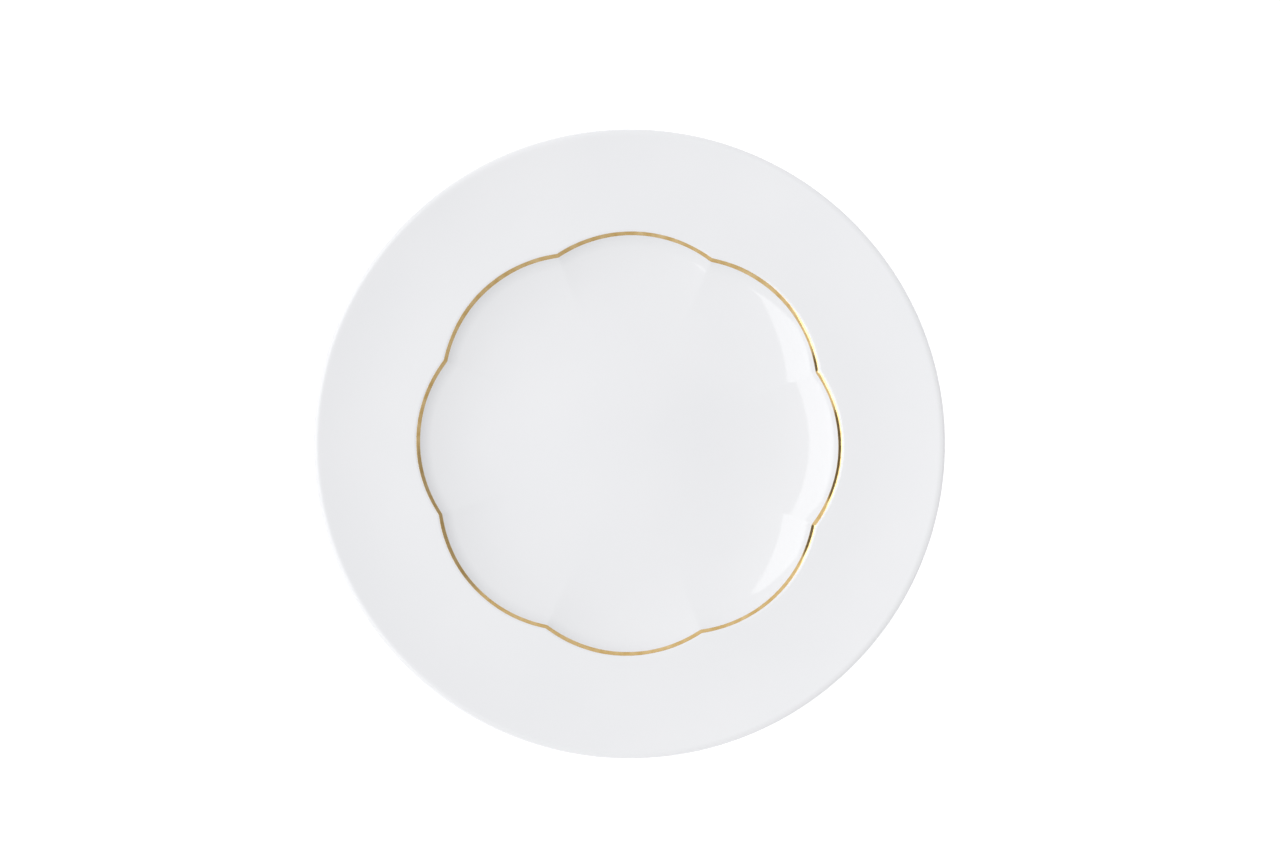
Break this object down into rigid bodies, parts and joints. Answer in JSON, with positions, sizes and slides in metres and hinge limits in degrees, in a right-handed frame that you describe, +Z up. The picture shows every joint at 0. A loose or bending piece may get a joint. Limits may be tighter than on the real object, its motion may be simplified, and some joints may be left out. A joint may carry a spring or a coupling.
{
  "type": "dinner plate",
  "caption": "Round white china dinner plate with a lobed well, a fine gold line around the well's edge, a wide plain rim and a foot ring underneath.",
  "frame": {"origin": "centre of the foot ring, on the plane it rests on", "axes": "+Z up through the centre of the plate, out of its face; +X through the middle of one lobe of the well"},
  "size_m": [0.27, 0.27, 0.0198],
  "materials": {
    "fired_china": "matte",
    "glaze": "polished",
    "gilding": "polished",
    "printed_mark": "gloss"
  },
  "bodies": {
    "root": {"china_body": "fired_china", "outer_glaze": "glaze", "foot_well_glaze": "glaze", "gold_line": "gilding", "backstamp": "printed_mark"}
  },
  "joints": []
}
